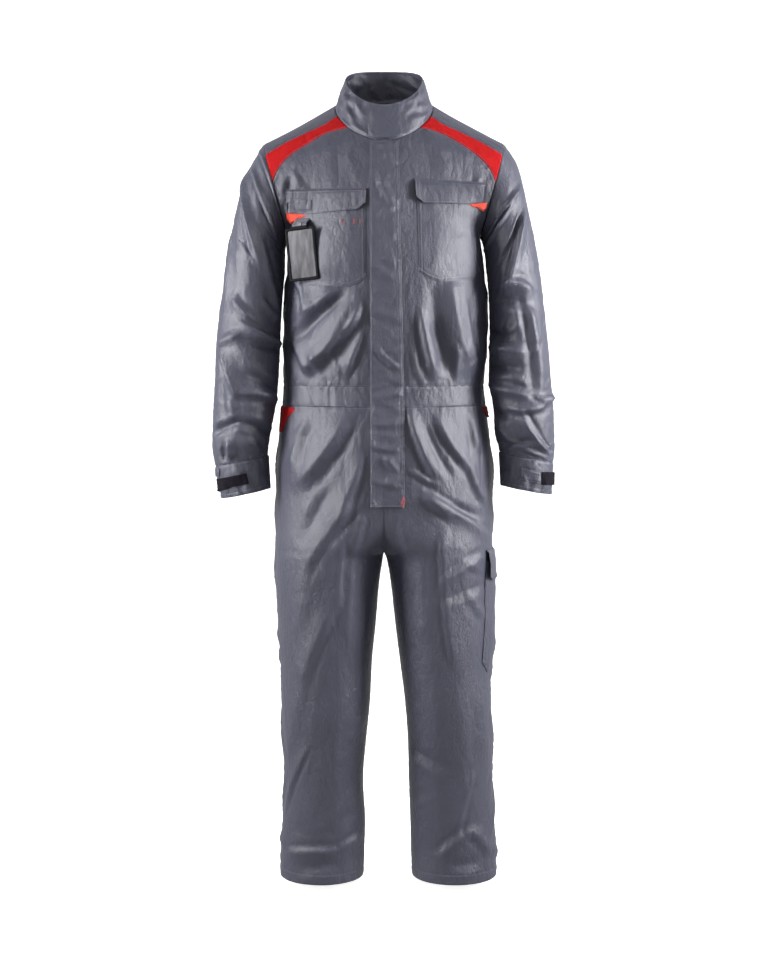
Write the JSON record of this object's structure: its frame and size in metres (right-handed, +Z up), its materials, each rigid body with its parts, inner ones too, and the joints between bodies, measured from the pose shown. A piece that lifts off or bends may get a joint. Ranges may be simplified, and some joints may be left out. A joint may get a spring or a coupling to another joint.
{
  "type": "boiler suit",
  "caption": "One-piece twill work suit with stand collar, covered front opening, shoulder inserts, chest, hip and thigh pockets, cuffs and a badge holder",
  "frame": {"origin": "middle of the neck seam, level with the side neck points, where the wearer's neck and shoulders hold the suit", "axes": "+Z up the body, -Y the front, +X the wearer's left"},
  "size_m": [0.6771, 0.3146, 1.6226],
  "materials": {
    "twill": "satin twill",
    "insert_twill": "matte twill",
    "accent_twill": "matte twill",
    "facing_twill": "matte twill",
    "hook_tape": "hook and loop",
    "webbing": "woven webbing",
    "frame_plastic": "satin",
    "window_plastic": "clear film over a dark back"
  },
  "bodies": {
    "root": {"bodice_front_R": "twill", "shoulder_insert_R": "insert_twill", "bodice_front_L": "twill", "shoulder_insert_L": "insert_twill", "back_yoke": "twill", "bodice_back": "twill", "waistband_front_R": "twill", "waistband_front_L": "twill", "waistband_back": "twill", "leg_front_R": "twill", "leg_back_R": "twill", "leg_front_L": "twill", "leg_back_L": "twill", "sleeve_front_R": "twill", "sleeve_back_R": "twill", "cuff_R": "twill", "sleeve_front_L": "twill", "sleeve_back_L": "twill", "cuff_L": "twill", "collar": "twill", "placket": "twill", "collar_placket": "twill", "chest_pocket_R": "twill", "chest_flap_R": "twill", "flap_wedge_R": "accent_twill", "chest_pocket_L": "twill", "chest_flap_L": "twill", "flap_wedge_L": "accent_twill", "pocket_facing_R": "facing_twill", "pocket_facing_L": "facing_twill", "cuff_hook_R": "hook_tape", "cuff_tab_R": "twill", "cuff_hook_L": "hook_tape", "cuff_tab_L": "twill", "thigh_pocket": "twill", "thigh_flap": "twill", "badge_frame": "frame_plastic", "badge_window": "window_plastic", "badge_strap": "webbing"}
  },
  "joints": []
}
